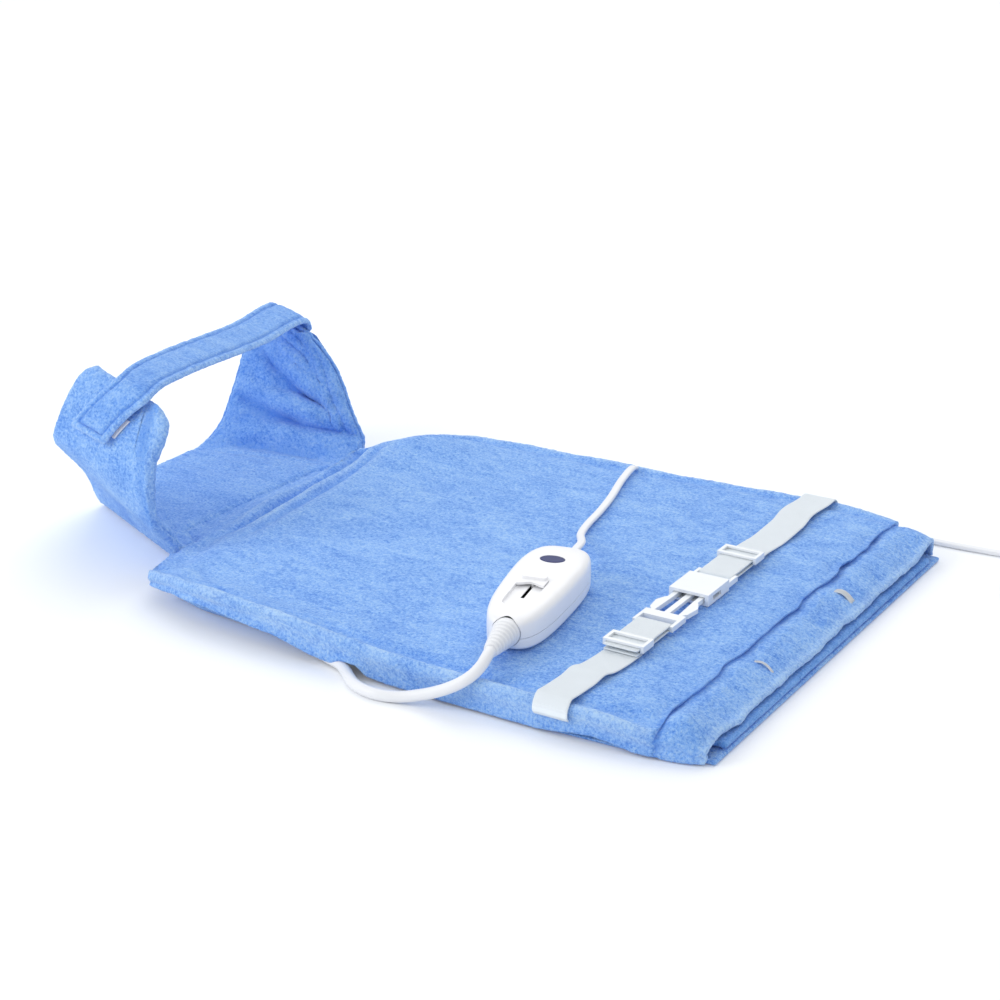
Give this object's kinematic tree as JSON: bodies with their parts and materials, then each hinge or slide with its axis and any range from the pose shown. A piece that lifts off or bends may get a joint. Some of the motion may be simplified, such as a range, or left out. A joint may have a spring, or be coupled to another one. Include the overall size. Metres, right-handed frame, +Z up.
{
  "type": "heating pad with controller",
  "caption": "Fleece back and neck heating pad with collar, waist belt and buckle, a slide-switch hand controller and its cords.",
  "frame": {"origin": "on the floor under the middle of the pad, collar and belt together, without the cords", "axes": "+X from the collar to the foot hem, +Y to the side that the mains cord crosses, +Z up"},
  "size_m": [0.7847, 0.4632, 0.1448],
  "materials": {
    "fleece": "short light-blue fleece pile",
    "fleece_inside": "fleece in the shade of the opening",
    "lining": "plain white cloth, wadding and fastener tape",
    "thread": "white sewing thread",
    "webbing": "white woven webbing",
    "buckle_plastic": "white moulded, satin",
    "shell_plastic": "white moulded, soft gloss",
    "lens_plastic": "dark blue, clear over a lamp",
    "circuit_board": "green laminate",
    "dark_plastic": "dark grey moulded",
    "cord_jacket": "white flexible sheath",
    "wire_jacket": "red silicone sheath",
    "steel": "plain metal"
  },
  "bodies": {
    "root": {"cover_top": "fleece", "cover_top_hem": "fleece", "cover_bottom": "fleece", "collar_base": "fleece", "collar_left_wing": "fleece", "collar_right_wing": "fleece", "collar_strap_anchor": "fleece", "cover_bottom_hem": "fleece_inside", "insert_case_bottom": "lining", "wadding_bottom": "lining", "heater_sheet": "lining", "wadding_top": "lining", "insert_case_top": "lining", "loop_patch": "lining", "bar_tack_near": "thread", "bar_tack_far": "thread", "belt_webbing_near": "webbing", "belt_webbing_far": "webbing", "buckle_female": "buckle_plastic", "controller_top_shell": "shell_plastic", "controller_bottom_shell": "shell_plastic", "indicator_lens": "lens_plastic", "indicator_led": "lens_plastic", "circuit_board": "circuit_board", "slide_switch_body": "dark_plastic", "mains_capacitor": "dark_plastic", "thermostat_1": "dark_plastic", "thermostat_2": "dark_plastic", "coil_tie": "dark_plastic", "lead_relief": "cord_jacket", "mains_relief": "cord_jacket", "lead_entry_block": "cord_jacket", "pad_lead": "cord_jacket", "mains_cord_run": "cord_jacket", "mains_cord_coil": "cord_jacket", "mains_cord_tail": "cord_jacket", "plug_body": "cord_jacket", "heating_wire": "wire_jacket", "wire_end_crimp": "steel", "shell_screw_1": "steel", "shell_screw_2": "steel", "mains_fuse": "steel", "plug_pin_1": "steel", "plug_pin_2": "steel"},
    "buckle_male_end": {"buckle_male": "buckle_plastic", "belt_loop_near": "webbing"},
    "buckle_left_arm": {"buckle_arm_left": "buckle_plastic"},
    "buckle_right_arm": {"buckle_arm_right": "buckle_plastic"},
    "near_glide": {"tri_glide_near": "buckle_plastic"},
    "far_glide": {"tri_glide_far": "buckle_plastic"},
    "neck_strap": {"collar_strap": "fleece", "hook_patch": "lining"},
    "knob": {"switch_knob": "shell_plastic"}
  },
  "joints": [
    {"name": "switch_slide", "type": "slide", "parent": "root", "child": "knob", "axis": [0.196, -0.9806, 0], "range_m": [0, 0.021]},
    {"name": "buckle_release", "type": "slide", "parent": "root", "child": "buckle_male_end", "axis": [0, -1, 0], "range_m": [0, 0.024]},
    {"name": "left_arm_press", "type": "hinge", "parent": "buckle_male_end", "child": "buckle_left_arm", "pos_m": [0.1945, -0.058, 0.0295], "axis": [0, 0, -1], "range_deg": [0, 5], "stiffness_Nm_per_rad": 0.3},
    {"name": "right_arm_press", "type": "hinge", "parent": "buckle_male_end", "child": "buckle_right_arm", "pos_m": [0.2155, -0.058, 0.0295], "axis": [0, 0, 1], "range_deg": [0, 5], "stiffness_Nm_per_rad": 0.3},
    {"name": "near_glide_slide", "type": "slide", "parent": "buckle_male_end", "child": "near_glide", "axis": [0, 1, 0], "range_m": [-0.008, 0.018]},
    {"name": "far_glide_slide", "type": "slide", "parent": "root", "child": "far_glide", "axis": [0, 1, 0], "range_m": [-0.012, 0.01]},
    {"name": "neck_strap_open", "type": "hinge", "parent": "root", "child": "neck_strap", "pos_m": [-0.2655, 0.15664, 0.09889], "axis": [-0.9976, -0.0683, -0.0137], "range_deg": [0, 110]}
  ],
  "couplings": [
    {"joint": "right_arm_press", "follows": "left_arm_press", "ratio": 1}
  ]
}
